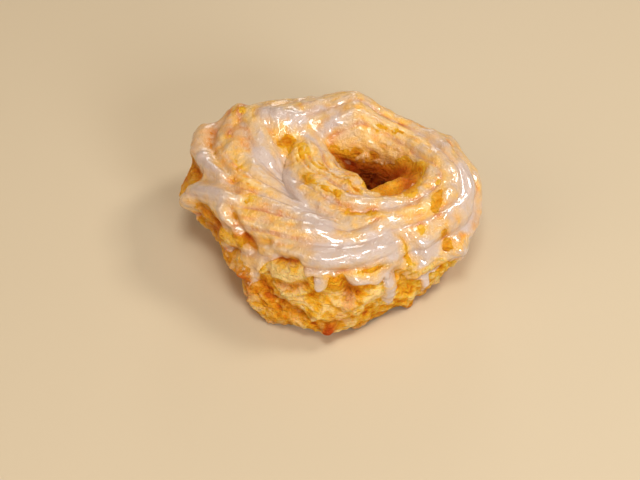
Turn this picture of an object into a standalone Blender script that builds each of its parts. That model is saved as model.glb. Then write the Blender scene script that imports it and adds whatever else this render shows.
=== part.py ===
"""A french cruller: one rope of choux dough, piped through a star nozzle, fried and glazed.

The rope is laid down as a short spiral. It starts with a tongue beside the hole, goes once round it,
climbs over to the outside on the left and closes on the far side of its own start. The ridges of the
nozzle wind round the rope, slowly along the front, the right and the back, and fast on the left,
where they stand out as lobes with deep gaps between them. The lower side is a rough, risen crust.

Metres, +Z up. The origin is the middle of the base, and the cruller is seen from -Y.
"""

import bpy
import numpy as np

MM = 0.001

# How finely the skin is divided: steps round the ring and steps round the tube.
AROUND_RING = 108
AROUND_TUBE = 54
FINE = 4

# The middle of the hole, measured from the origin.
HOLE_X = 13.06 * MM
HOLE_Y = 4.76 * MM

# Height of the line inside the dough from which the skin is measured.
CORE_HEIGHT = 15 * MM

# How softly the two turns of rope melt together where they meet.
STRAND_BLEND = 8 * MM

# The nozzle.
NOZZLE_TEETH = 12
RIDGE_SHARPNESS = 0.8
RIDGE_MIDDLE = 1.3

# Rough crust: it starts at this height and is fully rough further down.
CRUST_TOP = 25 * MM
CRUST_FADE = 8 * MM
CRAG_HEIGHT = 1.1 * MM
CRAG_SIZE = 6.5 * MM
CRUMB_HEIGHT = 0.6 * MM
CRUMB_SIZE = 3.2 * MM
FLAKE_DROP = 0.7 * MM

# Waves in the smoother skin above the rough crust.
WAVE_HEIGHT = 0.4 * MM
WAVE_SIZE = 6.0 * MM
SMALL_WAVE_HEIGHT = 0.45 * MM
SMALL_WAVE_SIZE = 3.3 * MM

# The rope. Each row is how far round the rope has gone in degrees, the distance from the middle of
# the hole to the rope's own middle, its half width, and its height, all three in millimetres.
ROPE = np.array([
    (132, 25.5, 5.0, 24.0),
    (140, 23.5, 10.5, 31.0),
    (152, 20.5, 13.0, 34.0),
    (175, 19.0, 13.5, 35.0),
    (205, 19.0, 13.5, 36.0),
    (240, 20.3, 13.7, 36.0),
    (275, 22.0, 13.5, 36.0),
    (310, 22.5, 14.5, 35.5),
    (345, 23.5, 15.0, 36.0),
    (380, 22.5, 14.5, 36.0),
    (410, 20.5, 12.5, 36.0),
    (435, 21.5, 13.0, 37.0),
    (458, 25.5, 16.5, 40.5),
    (478, 28.5, 18.0, 38.5),
    (494, 34.5, 20.5, 38.0),
    (506, 39.8, 22.8, 38.5),
    (522, 43.2, 22.2, 37.5),
    (541, 44.0, 19.8, 36.0),
    (560, 41.5, 16.0, 36.0),
    (580, 39.0, 14.0, 35.0),
    (600, 38.0, 13.5, 35.0),
    (620, 35.5, 13.0, 34.0),
    (637, 31.0, 9.5, 32.0),
    (652, 26.0, 3.0, 22.0),
])

# The foot. Each row is a bearing in degrees, the distance from the middle of the hole to the outer
# edge of the foot, and the height from which the side draws in to it, both in millimetres.
FOOT = np.array([
    (0, 31.0, 20),
    (30, 29.0, 20),
    (60, 26.0, 20),
    (90, 31.0, 22),
    (115, 37.0, 24),
    (135, 42.0, 26),
    (150, 44.0, 28),
    (165, 46.0, 28),
    (180, 46.0, 28),
    (195, 45.5, 28),
    (205, 46.5, 26),
    (214, 48.8, 24),
    (220, 51.3, 22),
    (226, 53.3, 20),
    (231, 53.0, 20),
    (242, 50.2, 20),
    (252, 48.8, 20),
    (258, 46.5, 20),
    (266, 43.9, 20),
    (272, 40.7, 20),
    (285, 35.8, 20),
    (303, 33.3, 20),
    (320, 31.5, 20),
    (340, 31.0, 20),
    (360, 31.0, 20),
])

# How far the nozzle's ridges have wound round the rope: degrees along the rope, degrees wound.
WINDING = np.array([
    (132, -24),
    (160, -6),
    (188, 9),
    (200, 20),
    (226, 28),
    (255, 28),
    (283, 35),
    (310, 37),
    (345, 43),
    (356, 58),
    (367, 70),
    (390, 75),
    (431, 76),
    (452, 77),
    (470, 79),
    (490, 87),
    (505, 100),
    (522, 130),
    (540, 160),
    (558, 190),
    (577, 218),
    (588, 228),
    (598, 234),
    (620, 241),
    (652, 246),
])

# Ridge depth: degrees along the rope, depth on the top, and depth on the outer side, in millimetres.
RIDGE_DEPTH = np.array([
    (132, 0.0, 0.0),
    (150, 0.2, 0.3),
    (175, 0.6, 0.7),
    (205, 0.7, 0.8),
    (300, 0.6, 0.8),
    (335, 0.4, 0.9),
    (375, 0.5, 1.1),
    (400, 0.7, 1.2),
    (450, 0.7, 1.3),
    (480, 0.5, 1.2),
    (500, 0.4, 1.0),
    (522, 0.4, 0.8),
    (560, 0.4, 0.8),
    (577, 0.4, 0.9),
    (600, 0.4, 0.8),
    (630, 0.5, 0.8),
    (652, 0.0, 0.0),
])

# Forms of this one cruller: what it is, height (less than 0 for a hollow) and half width in
# millimetres, and its course over the skin as pairs of a bearing round the ring and an angle round
# the tube.
PLACES = [
    ("left gap", -3.2, 2.2, [(170.5, 22), (175.5, 27), (180, 31)]),
    ("crust below that gap", 3.4, 3.0, [(171, 8), (178, 11)]),
    ("gap below the left tip", -2.1, 2.6, [(190, 20), (194, 23), (199, 22), (200, 14), (195, 5)]),
    ("lower left hollow", -1.8, 2.4, [(214, 30), (219, 28)]),
    ("crusty hollow beside it", -1.1, 2.6, [(206.5, 24), (211.5, 20), (210, 6)]),
    ("crease behind the left lobe", -1.5, 1.7,
     [(155, 43), (162, 42), (169.5, 44), (177, 49), (184.5, 55), (191.5, 57)]),
    ("crease below the left lobe", -1.3, 1.7, [(184, 37), (190, 47), (198, 53)]),
    ("crease above the lower stripe", -1.3, 1.5,
     [(203, 42), (207.5, 38.5), (213, 33), (218, 34), (224, 40)]),
    ("notch where the tongue starts", -1.4, 1.3, [(160, 101), (157.5, 105), (157, 108)]),
    ("crease behind the tongue", -0.8, 1.3, [(147, 117), (149.5, 130), (154, 135)]),
    ("crease left of the tongue", -0.9, 1.4, [(157.5, 104), (161.5, 111), (173, 116)]),
    ("gap beside the tongue", -1.8, 1.8, [(140, 149), (120, 157)]),
    ("corner of the hole", -0.8, 2.8, [(340, 113), (8, 120)]),
    ("hollow in the front crust", -2.2, 2.0, [(259, 24), (261, 8)]),
    ("gap under the front edge", -1.0, 1.8, [(274, 28), (280, 18), (285, 6)]),
    ("pit beside the front flake", -1.4, 1.6, [(227, 23), (230, 12)]),
    ("slit over the front flake", -1.8, 1.3, [(229, 33), (233, 34), (239, 38)]),
    ("slit under the front flake", -1.2, 1.3, [(233, 11), (239, 12), (244, 19)]),
    ("crevice in the front foot", -1.8, 1.8, [(228, -2), (237, -6), (243, -17)]),
    ("crease on the right lump", -1.2, 1.5, [(288, 112), (305, 108), (322, 108)]),
    ("curl at the foot", 2.4, 1.4, [(252, -23), (254, -20)]),
    ("knob at the lower left", 1.8, 2.4, [(219, 3), (222, -5)]),
    ("drip at the right", 2.4, 3.2, [(317, 12), (321, -10)]),
    ("upper left lobe", 3.2, 4.4, [(159, 31), (165, 33), (171, 32)]),
    ("left lobe", 1.2, 2.8, [(176, 37), (181, 44), (187, 50)]),
    ("lobe below it", 1.7, 3.4, [(184, 16), (187, 26), (191.5, 35), (196, 41), (201, 45)]),
    ("left tip", 2.6, 3.0, [(182, 12), (184, 20)]),
    ("curl under the left tip", 2.2, 2.2, [(184, 8), (187, 2)]),
    ("lower stripe", 0.6, 1.4, [(200, 36), (205, 33), (210, 30)]),
    ("strip at the left edge", 1.2, 1.8, [(204, 6), (207, 1), (213, 2), (219, 4)]),
    ("roll along the front", 1.3, 3.8, [(238, 38), (252, 42), (263, 45), (274, 42), (281, 36)]),
    ("groove under the valley", -0.8, 2.2, [(243, 56), (262, 60), (279, 58)]),
    ("fold at the front right", 1.4, 1.6, [(283.5, 54), (286, 38), (289, 18), (291.5, -4)]),
    ("groove beside that fold", -0.9, 1.5, [(290, 52), (293, 36), (296, 18)]),
    ("right tip", 1.2, 3.0, [(356, 46), (350, 40)]),
    ("back tip", 1.6, 2.8, [(146, 46), (149, 52)]),
    ("tongue's start", 1.4, 3.4, [(159, 113), (166, 121)]),
    ("swell of the tongue into the hole", 4.8, 4.3, [(214, 147), (227, 144), (244, 135)]),
    ("lump on the right of the hole", 3.0, 3.4, [(286, 120), (305, 120), (318, 118)]),
]

# Flakes of torn crust: what it is, height and depth in millimetres, and the course of its lower edge.
# Above that edge the crust stands out, and just below it drops back.
FLAKES = [
    ("broad flake at the front", 1.5, 3.0,
     [(226, 14), (228, 18), (231, 16), (234, 19), (238, 18), (241, 23), (246, 30)]),
    ("flake below it", 1.6, 2.6, [(233, 8), (236, 6), (240, 6), (244, 9), (247, 16)]),
    ("flake under the skirt", 1.0, 2.4, [(255, 3), (259, 0), (264, 2), (268, 6)]),
    ("flake over the curl", 1.2, 2.8, [(247, -10), (252, -14), (257, -12), (262, -14)]),
    ("flake at the left foot", 1.0, 2.4, [(224, -22), (229, -26), (236, -24)]),
]

CRUST_COLOUR = (0.62, 0.33, 0.10, 1.0)
CRUST_ROUGHNESS = 0.45


def curve(table, x, column):
    """A smooth curve through one column of a table: cubic, with slopes taken from its neighbours."""
    stations = table[:, 0]
    values = table[:, column]
    slopes = np.gradient(values, stations)
    x = np.clip(x, stations[0], stations[-1])
    i = np.clip(np.searchsorted(stations, x, side="right") - 1, 0, len(stations) - 2)
    gap = stations[i + 1] - stations[i]
    t = (x - stations[i]) / gap
    start = (1 + 2 * t) * (1 - t) ** 2 * values[i] + t * (1 - t) ** 2 * gap * slopes[i]
    end = t * t * (3 - 2 * t) * values[i + 1] + t * t * (t - 1) * gap * slopes[i + 1]
    return start + end


def soft_step(x, low, high):
    """0 below low, 1 above high, with a smooth slope between them."""
    t = np.clip((x - low) / (high - low), 0, 1)
    return t * t * (3 - 2 * t)


def soft_max(a, b, blend):
    """The larger of two lengths, rounded where they are nearly equal."""
    share = np.clip(0.5 + 0.5 * (a - b) / blend, 0, 1)
    return b + (a - b) * share + blend * share * (1 - share)


def strands(bearing):
    """The two turns of rope that a bearing may meet: present, turn, radius, half width, height."""
    found = []
    for whole_turn in (0, 360):
        turn = bearing % 360 + whole_turn
        present = (turn >= ROPE[0, 0]) & (turn <= ROPE[-1, 0])
        radius, half_width, height = (curve(ROPE, turn, column) * MM for column in (1, 2, 3))
        found.append((present, turn, radius, half_width, height))
    return found


def core_line(steps=720, softness=10.0):
    """The middle of the dough for each bearing, smoothed round the ring."""
    bearing = np.arange(steps) * 360 / steps
    inner = 1.0
    outer = 0.0
    for present, turn, radius, half_width, height in strands(bearing):
        inner = np.minimum(inner, np.where(present, radius - half_width, 1.0))
        outer = np.maximum(outer, np.where(present, radius + half_width, 0.0))
    away = (bearing + 180) % 360 - 180
    weight = np.exp(-0.5 * (away / softness) ** 2)
    weight /= weight.sum()
    return np.real(np.fft.ifft(np.fft.fft((inner + outer) / 2) * np.fft.fft(weight)))


CORE = core_line()


def core_radius(bearing):
    """Radius of the core line at any bearing, read between its steps."""
    x = bearing % 360 / 360 * len(CORE)
    i = np.floor(x).astype(int) % len(CORE)
    part = x - np.floor(x)
    return CORE[i] * (1 - part) + CORE[(i + 1) % len(CORE)] * part


def far_side(x, z, run, rise, half_width, half_height):
    """Distance from a point to the far side of an ellipse round the origin, or -1 where it misses."""
    a = (run / half_width) ** 2 + (rise / half_height) ** 2
    b = x * run / half_width ** 2 + z * rise / half_height ** 2
    c = (x / half_width) ** 2 + (z / half_height) ** 2 - 1
    inside = b * b - a * c
    reach = (-b + np.sqrt(np.maximum(inside, 0))) / a
    return np.where((inside > 0) & (reach > 0), reach, -1.0)


def plain_skin(bearing, angle):
    """The dough before its relief: a ray from the core line meets the outer of the two strands.

    Gives the points, and for each strand its share in the skin, its turn and the angle round it.
    """
    bearing, angle = np.broadcast_arrays(np.asarray(bearing, float), np.asarray(angle, float))
    core = core_radius(bearing)
    run = np.cos(np.radians(angle))
    rise = np.sin(np.radians(angle))
    reach = None
    foot_edge = 0.0
    hits = []
    for present, turn, radius, half_width, height in strands(bearing):
        middle = 0.45 * height
        half_height = 0.55 * height
        hit = far_side(core - radius, CORE_HEIGHT - middle, run, rise, half_width, half_height)
        hit = np.where(present, hit, -1.0)
        hits.append((hit, turn, radius, half_width, middle, half_height))
        reach = hit if reach is None else soft_max(reach, hit, STRAND_BLEND)
        foot_edge = np.maximum(foot_edge, np.where(present, radius + 0.575 * half_width, 0.0))
    out = core + reach * run
    up = CORE_HEIGHT + reach * rise
    nearest = np.maximum(hits[0][0], hits[1][0])
    total = 1e-12
    shares = []
    for hit, turn, radius, half_width, middle, half_height in hits:
        share = np.where(hit > 0, np.exp(-(nearest - hit) / (1.2 * MM)), 0)
        round_strand = np.arctan2((up - middle) / half_height, (out - radius) / half_width)
        shares.append([share, turn, np.degrees(round_strand)])
        total = total + share
    for row in shares:
        row[0] = row[0] / total
    foot = curve(FOOT, bearing % 360, 1) * MM
    draw_height = curve(FOOT, bearing % 360, 2) * MM
    low = np.clip((draw_height - up) / draw_height, 0, 1.2) ** 1.3
    outward = soft_step(run, -0.1, 0.35)
    draw = 1 - (foot - core) / np.maximum(foot_edge - core, 4 * MM)
    draw = outward * np.clip(draw, -0.6, 0.6) + (1 - outward) * 0.05
    out = core + (out - core) * (1 - draw * low)
    heading = np.radians(bearing)
    points = np.stack([HOLE_X + out * np.cos(heading), HOLE_Y + out * np.sin(heading),
                       np.maximum(up, 0)], -1)
    return points, shares


def lumpy(points, size, seed):
    """A smooth random field between -1 and 1: seeded values on a lattice, blended between its corners."""
    side = 32
    corner = np.random.default_rng(seed).random((side, side, side)) * 2 - 1
    place = points / size
    cell = np.floor(place).astype(int)
    part = place - cell
    part = part * part * (3 - 2 * part)
    field = 0
    for x in (0, 1):
        for y in (0, 1):
            for z in (0, 1):
                share = np.prod(np.where([x, y, z], part, 1 - part), axis=-1)
                field = field + share * corner[tuple((cell + (x, y, z))[..., k] % side for k in range(3))]
    return field


def nearest_on(points, course):
    """From every point to the nearest one on a course over the skin: distance, and height above it."""
    bearings, angles = np.array(course, float).T
    chain = plain_skin(bearings, angles)[0]
    distance = np.linalg.norm(points - chain[0], axis=-1)
    above = points[..., 2] - chain[0, 2]
    for a, b in zip(chain[:-1], chain[1:]):
        along = np.clip((points - a) @ (b - a) / ((b - a) @ (b - a)), 0, 1)
        foot = a + along[..., None] * (b - a)
        away = np.linalg.norm(points - foot, axis=-1)
        above = np.where(away < distance, points[..., 2] - foot[..., 2], above)
        distance = np.minimum(distance, away)
    return distance, above


def nozzle_ridges(points, shares):
    """The ridges of the star nozzle: a rounded wave round each strand, wound by its own table."""
    sway = 0.9 * lumpy(points, 16 * MM, 3)
    ridges = 0
    for share, turn, angle in shares:
        phase = np.radians((angle - curve(WINDING, turn, 1)) * NOZZLE_TEETH) + sway
        profile = np.abs(np.cos(phase / 2)) ** RIDGE_SHARPNESS * 2 - RIDGE_MIDDLE
        outside = soft_step(np.cos(np.radians(angle)), 0.5, 0.9)
        under = soft_step(-np.sin(np.radians(angle)), 0.0, 0.6)
        in_hole = soft_step(-np.cos(np.radians(angle)), 0.35, 0.75)
        depth = curve(RIDGE_DEPTH, turn, 1) * (1 - outside) + curve(RIDGE_DEPTH, turn, 2) * outside
        ridges = ridges + share * profile * depth * (1 - 0.6 * under) * (1 - 0.7 * in_hole)
    return ridges * MM * (1 + 0.45 * lumpy(points, 12 * MM, 4))


def relief(points, shares):
    """How far the skin stands out from the plain dough: ridges, gaps, tips, flakes and crags."""
    height = nozzle_ridges(points, shares)
    for name, size, half_width, course in PLACES:
        away = nearest_on(points, course)[0] / (half_width * MM)
        height = height + size * MM * np.exp(-away ** 2)
    for name, size, depth, course in FLAKES:
        distance, above = nearest_on(points, course)
        ledge = soft_step(above, -FLAKE_DROP, 0) * np.exp(-(distance / (depth * MM)) ** 2)
        height = height + size * MM * ledge
    rough = soft_step(CRUST_TOP - points[..., 2], 0, CRUST_FADE)
    crags = CRAG_HEIGHT * lumpy(points, CRAG_SIZE, 5) + CRUMB_HEIGHT * lumpy(points, CRUMB_SIZE, 6)
    waves = WAVE_HEIGHT * lumpy(points, WAVE_SIZE, 7) + SMALL_WAVE_HEIGHT * lumpy(points, SMALL_WAVE_SIZE, 25)
    return height + rough * crags + (1 - rough) * waves


def outward_normals(points):
    """Unit normals of a grid of points that closes on itself both ways."""
    along = np.roll(points, -1, 0) - np.roll(points, 1, 0)
    across = np.roll(points, -1, 1) - np.roll(points, 1, 1)
    normal = np.cross(along, across)
    return normal / (np.linalg.norm(normal, axis=-1, keepdims=True) + 1e-12)


def even_steps(lengths, steps):
    """Where to stop along a closed row of fine steps so that the stops are equally far apart.

    lengths is the length of each fine step. Gives the stops as a share of the whole row, 0 to 1.
    """
    travelled = np.concatenate([[0.0], np.cumsum(lengths)])
    wanted = np.arange(steps) / steps * travelled[-1]
    return np.interp(wanted, travelled, np.linspace(0, 1, len(travelled)))


def skin_grid(ring_steps, tube_steps, fine=360):
    """Bearings and tube angles that lay the grid out evenly over the dough."""
    fine_bearing = np.arange(fine) * 360 / fine
    fine_angle = np.arange(fine) * 360 / fine
    outer_edge = plain_skin(fine_bearing, 0.0)[0] - (HOLE_X, HOLE_Y, 0.0)
    reach = np.hypot(outer_edge[:, 0], outer_edge[:, 1])
    bearings = 360 * even_steps(reach, ring_steps)
    rings = plain_skin(bearings[:, None], fine_angle[None, :])[0]
    lengths = np.linalg.norm(np.roll(rings, -1, 1) - rings, axis=-1)
    angles = np.array([360 * even_steps(row, tube_steps) for row in lengths])
    return bearings[:, None], angles


def cruller_skin(ring_steps, tube_steps):
    """The whole skin as a grid of points: rows round the ring, columns round the tube."""
    points, shares = plain_skin(*skin_grid(ring_steps, tube_steps))
    skin = points + outward_normals(points) * relief(points, shares)[..., None]
    skin[..., 2] = np.maximum(skin[..., 2], 0)
    return skin


def local_average(grid, reach):
    """Each point as the mean of its neighbours within a number of steps, both ways round."""
    for axis in (0, 1):
        grid = sum(np.roll(grid, k, axis) for k in range(-reach, reach + 1)) / (2 * reach + 1)
    return grid


def crust_material():
    """Fried choux crust: golden brown and slightly glossy."""
    material = bpy.data.materials.new("fried crust")
    material.use_nodes = True
    shader = material.node_tree.nodes["Principled BSDF"]
    shader.inputs["Base Color"].default_value = CRUST_COLOUR
    shader.inputs["Roughness"].default_value = CRUST_ROUGHNESS
    shader.inputs["Metallic"].default_value = 0.0
    return material


for old in list(bpy.data.objects):
    bpy.data.objects.remove(old, do_unlink=True)

collection = bpy.data.collections.new("french cruller")
bpy.context.scene.collection.children.link(collection)

# A torus primitive has its vertices in rows round the ring, each row a circle round the tube.
# Each vertex keeps its place in that grid and moves to the skin.
bpy.ops.mesh.primitive_torus_add(
    major_segments=AROUND_RING,
    minor_segments=AROUND_TUBE,
    major_radius=35 * MM,
    minor_radius=16 * MM,
)
cruller = bpy.context.object
cruller.name = "cruller"
cruller.data.name = "cruller"
for other in list(cruller.users_collection):
    other.objects.unlink(cruller)
collection.objects.link(cruller)

# The skin is worked out finer than the mesh, and each vertex takes the mean of the skin round it,
# so that no crag is reduced to a spike.
fine_skin = cruller_skin(AROUND_RING * FINE, AROUND_TUBE * FINE)
skin = local_average(fine_skin, FINE // 2)[::FINE, ::FINE]
cruller.data.vertices.foreach_set("co", skin.reshape(-1))
cruller.data.update()
cruller.data.shade_smooth()
cruller.data.materials.clear()
cruller.data.materials.append(crust_material())
bpy.context.view_layer.update()

size = (skin.reshape(-1, 3).max(0) - skin.reshape(-1, 3).min(0)) / MM
middle = (skin.reshape(-1, 3).max(0) + skin.reshape(-1, 3).min(0)) / 2 / MM
print("cruller, mm across, deep and high:", size.round(2))
print("middle of its box, mm:", middle.round(3))
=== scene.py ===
# %% [markdown]
# A french cruller, made in Blender
#
# A french cruller is a ring of choux dough. It is piped through a star nozzle, fried until it is
# golden and hollow inside, and dipped in a thin sugar glaze. This one was piped as a short spiral:
# the rope starts as a tongue beside the hole, goes once round it and overlaps its own start.
# Two pieces make it here: the fried crust, and the glaze that lies over it as a thin closed sheet.

import bpy
import numpy as np
from mathutils import Matrix, Vector


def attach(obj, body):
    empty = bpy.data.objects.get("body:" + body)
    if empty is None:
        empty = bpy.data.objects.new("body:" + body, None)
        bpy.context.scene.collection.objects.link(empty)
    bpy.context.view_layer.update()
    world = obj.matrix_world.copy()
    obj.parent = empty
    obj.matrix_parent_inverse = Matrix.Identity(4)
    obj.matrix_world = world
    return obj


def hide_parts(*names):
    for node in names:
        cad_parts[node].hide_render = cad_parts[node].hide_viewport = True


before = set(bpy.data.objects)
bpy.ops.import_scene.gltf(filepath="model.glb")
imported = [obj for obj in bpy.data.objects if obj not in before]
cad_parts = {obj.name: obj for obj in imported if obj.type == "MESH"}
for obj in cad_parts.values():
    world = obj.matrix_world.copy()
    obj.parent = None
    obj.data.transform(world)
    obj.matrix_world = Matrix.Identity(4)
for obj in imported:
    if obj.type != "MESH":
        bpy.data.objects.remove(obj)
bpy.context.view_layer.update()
MM = 0.001

# %% [markdown]
# The camera
#
# A camera could be placed by eye until the picture looks right. Here it is worked out from the
# picture instead: how steeply it looks down, its slight roll, how far away it stands, and at which
# pixel one known point of the cruller shows. With its three axes known, they are the columns of the
# camera's turn, and its place follows from the distance.

# %% Camera
PICTURE_WIDTH = 640
PICTURE_HEIGHT = 480
FOCAL_PIXELS = 1310.0
LOOK_DOWN = np.radians(45.1)
ROLL = np.radians(-1.4)
DISTANCE = 0.46
SENSOR_WIDTH = 36.0
KNOWN_POINT = np.array([-0.44, -4.74, 0.0]) * MM
KNOWN_PIXEL = (331.0, 253.0)

backward = np.array([0.0, -np.cos(LOOK_DOWN), np.sin(LOOK_DOWN)])
level_right = np.array([1.0, 0.0, 0.0])
level_up = np.cross(backward, level_right)
right = level_right * np.cos(ROLL) + level_up * np.sin(ROLL)
up = level_up * np.cos(ROLL) - level_right * np.sin(ROLL)
aside = (KNOWN_PIXEL[0] - PICTURE_WIDTH / 2) / FOCAL_PIXELS
below = (KNOWN_PIXEL[1] - PICTURE_HEIGHT / 2) / FOCAL_PIXELS
eye = KNOWN_POINT + DISTANCE * (backward - right * aside + up * below)

camera_data = bpy.data.cameras.new("camera")
camera_data.sensor_width = SENSOR_WIDTH
camera_data.lens = FOCAL_PIXELS / PICTURE_WIDTH * SENSOR_WIDTH
camera_data.clip_start = 0.01
camera = bpy.data.objects.new("camera", camera_data)
turned = Matrix(np.array([right, up, backward]).T).to_4x4()
camera.matrix_world = Matrix.Translation(Vector(eye)) @ turned
bpy.context.scene.collection.objects.link(camera)
bpy.context.scene.camera = camera
print("camera at", eye.round(3), "lens", round(camera_data.lens, 1))

# %% [markdown]
# Seeded lumps
#
# Dough is uneven at every size. A texture could be painted on later, but folds and crags that stand
# out need real height. The field below gives every point of space a number between -1 and 1: random
# values sit on the corners of a cubic lattice, and a point takes a smooth blend of the eight round
# it. The seed is fixed, so the same lumps come back on every run.


# %% Fields of lumps
LATTICE = 32


def soft_step(x, low, high):
    """0 below low and 1 above high, with the smooth rise t * t * (3 - 2 t) between them."""
    t = np.clip((x - low) / (high - low), 0, 1)
    return t * t * (3 - 2 * t)


def lumpy(points, size, seed):
    """A blend of the eight nearest lattice values, each weighted by how near its corner is."""
    corner = np.random.default_rng(seed).random((LATTICE, LATTICE, LATTICE)) * 2 - 1
    place = points / size
    cell = np.floor(place).astype(int)
    part = place - cell
    part = part * part * (3 - 2 * part)
    field = 0
    for x in (0, 1):
        for y in (0, 1):
            for z in (0, 1):
                share = np.prod(np.where([x, y, z], part, 1 - part), axis=-1)
                at = (cell + (x, y, z)) % LATTICE
                field = field + share * corner[at[..., 0], at[..., 1], at[..., 2]]
    return field


sample = np.random.default_rng(0).random((2000, 3)) * 0.05
heights = lumpy(sample, 5 * MM, 1)
print("lumps run from", heights.min().round(2), "to", heights.max().round(2))

# %% [markdown]
# The rope of dough
#
# A torus with a bump texture would give a plain doughnut. The real shape is a rope that overlaps
# itself, so it is described as one: how far the rope is from the middle of the hole, how wide and
# how high it is, all as it goes round. Every bearing meets the rope once or twice. A ray goes out
# from a line inside the dough, and where it leaves the outer of the two strands is the skin.

# %% The rope's course
HOLE = np.array([13.06, 4.76, 0.0]) * MM
CORE_HEIGHT = 15 * MM
STRAND_BLEND = 8 * MM
STRAND_MIDDLE = 0.45
STRAND_FOOT = 0.575
STRAND_SHARING = 1.2 * MM
SIDE_BEND = 1.3
INNER_DRAW = 0.05

# Degrees along the rope, distance from the middle of the hole, half width and height in mm.
ROPE = np.array([
    (132, 25.5, 5.0, 24.0), (140, 23.5, 10.5, 31.0), (152, 20.5, 13.0, 34.0), (175, 19.0, 13.5, 35.0),
    (205, 19.0, 13.5, 36.0), (240, 20.3, 13.7, 36.0), (275, 22.0, 13.5, 36.0), (310, 22.5, 14.5, 35.5),
    (345, 23.5, 15.0, 36.0), (380, 22.5, 14.5, 36.0), (410, 20.5, 12.5, 36.0), (435, 21.5, 13.0, 37.0),
    (458, 25.5, 16.5, 40.5), (478, 28.5, 18.0, 38.5), (494, 34.5, 20.5, 38.0), (506, 39.8, 22.8, 38.5),
    (522, 43.2, 22.2, 37.5), (541, 44.0, 19.8, 36.0), (560, 41.5, 16.0, 36.0), (580, 39.0, 14.0, 35.0),
    (600, 38.0, 13.5, 35.0), (620, 35.5, 13.0, 34.0), (637, 31.0, 9.5, 32.0), (652, 26.0, 3.0, 22.0),
])

# Bearing, distance from the middle of the hole to the foot's outer edge, and the height from which
# the side draws in to it.
FOOT = np.array([
    (0, 31.0, 20), (30, 29.0, 20), (60, 26.0, 20), (90, 31.0, 22),
    (115, 37.0, 24), (135, 42.0, 26), (150, 44.0, 28), (165, 46.0, 28),
    (180, 46.0, 28), (195, 45.5, 28), (205, 46.5, 26), (214, 48.8, 24),
    (220, 51.3, 22), (226, 53.3, 20), (231, 53.0, 20), (242, 50.2, 20),
    (252, 48.8, 20), (258, 46.5, 20), (266, 43.9, 20), (272, 40.7, 20),
    (285, 35.8, 20), (303, 33.3, 20), (320, 31.5, 20), (340, 31.0, 20),
    (360, 31.0, 20),
])


def curve(table, x, column):
    """A smooth curve through one column of a table: cubic, with slopes taken from its neighbours."""
    stations = table[:, 0]
    values = table[:, column]
    slopes = np.gradient(values, stations)
    x = np.clip(x, stations[0], stations[-1])
    i = np.clip(np.searchsorted(stations, x, side="right") - 1, 0, len(stations) - 2)
    gap = stations[i + 1] - stations[i]
    t = (x - stations[i]) / gap
    start = (1 + 2 * t) * (1 - t) ** 2 * values[i] + t * (1 - t) ** 2 * gap * slopes[i]
    end = t * t * (3 - 2 * t) * values[i + 1] + t * t * (t - 1) * gap * slopes[i + 1]
    return start + end


def strands(bearing):
    """The two turns of rope a bearing may meet: present, turn, radius, half width, height."""
    found = []
    for whole_turn in (0, 360):
        turn = bearing % 360 + whole_turn
        present = (turn >= ROPE[0, 0]) & (turn <= ROPE[-1, 0])
        radius, half_width, height = (curve(ROPE, turn, column) * MM for column in (1, 2, 3))
        found.append((present, turn, radius, half_width, height))
    return found


for present, turn, radius, half_width, height in strands(np.array([200.0])):
    width = 2 * half_width[0]
    print("at bearing 200 a strand", round(radius[0] / MM, 1), "mm out,", round(width / MM, 1), "wide")


# %% The plain skin round the rope
def soft_max(a, b, blend):
    """The larger of two lengths, rounded where they are nearly equal."""
    share = np.clip(0.5 + 0.5 * (a - b) / blend, 0, 1)
    return b + (a - b) * share + blend * share * (1 - share)


def core_line(steps=720, softness=10.0):
    """The middle of the dough for each bearing, smoothed round the ring by a bell-shaped average."""
    bearing = np.arange(steps) * 360 / steps
    inner = 1.0
    outer = 0.0
    for present, turn, radius, half_width, height in strands(bearing):
        inner = np.minimum(inner, np.where(present, radius - half_width, 1.0))
        outer = np.maximum(outer, np.where(present, radius + half_width, 0.0))
    away = (bearing + 180) % 360 - 180
    weight = np.exp(-0.5 * (away / softness) ** 2)
    weight /= weight.sum()
    return np.real(np.fft.ifft(np.fft.fft((inner + outer) / 2) * np.fft.fft(weight)))


CORE = core_line()


def core_radius(bearing):
    """Radius of the core line at any bearing, read between its steps."""
    x = bearing % 360 / 360 * len(CORE)
    i = np.floor(x).astype(int) % len(CORE)
    part = x - np.floor(x)
    return CORE[i] * (1 - part) + CORE[(i + 1) % len(CORE)] * part


def far_side(x, z, run, rise, half_width, half_height):
    """Distance from a point to the far side of an ellipse: the larger root of its quadratic."""
    a = (run / half_width) ** 2 + (rise / half_height) ** 2
    b = x * run / half_width ** 2 + z * rise / half_height ** 2
    c = (x / half_width) ** 2 + (z / half_height) ** 2 - 1
    inside = b * b - a * c
    reach = (-b + np.sqrt(np.maximum(inside, 0))) / a
    return np.where((inside > 0) & (reach > 0), reach, -1.0)


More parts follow.
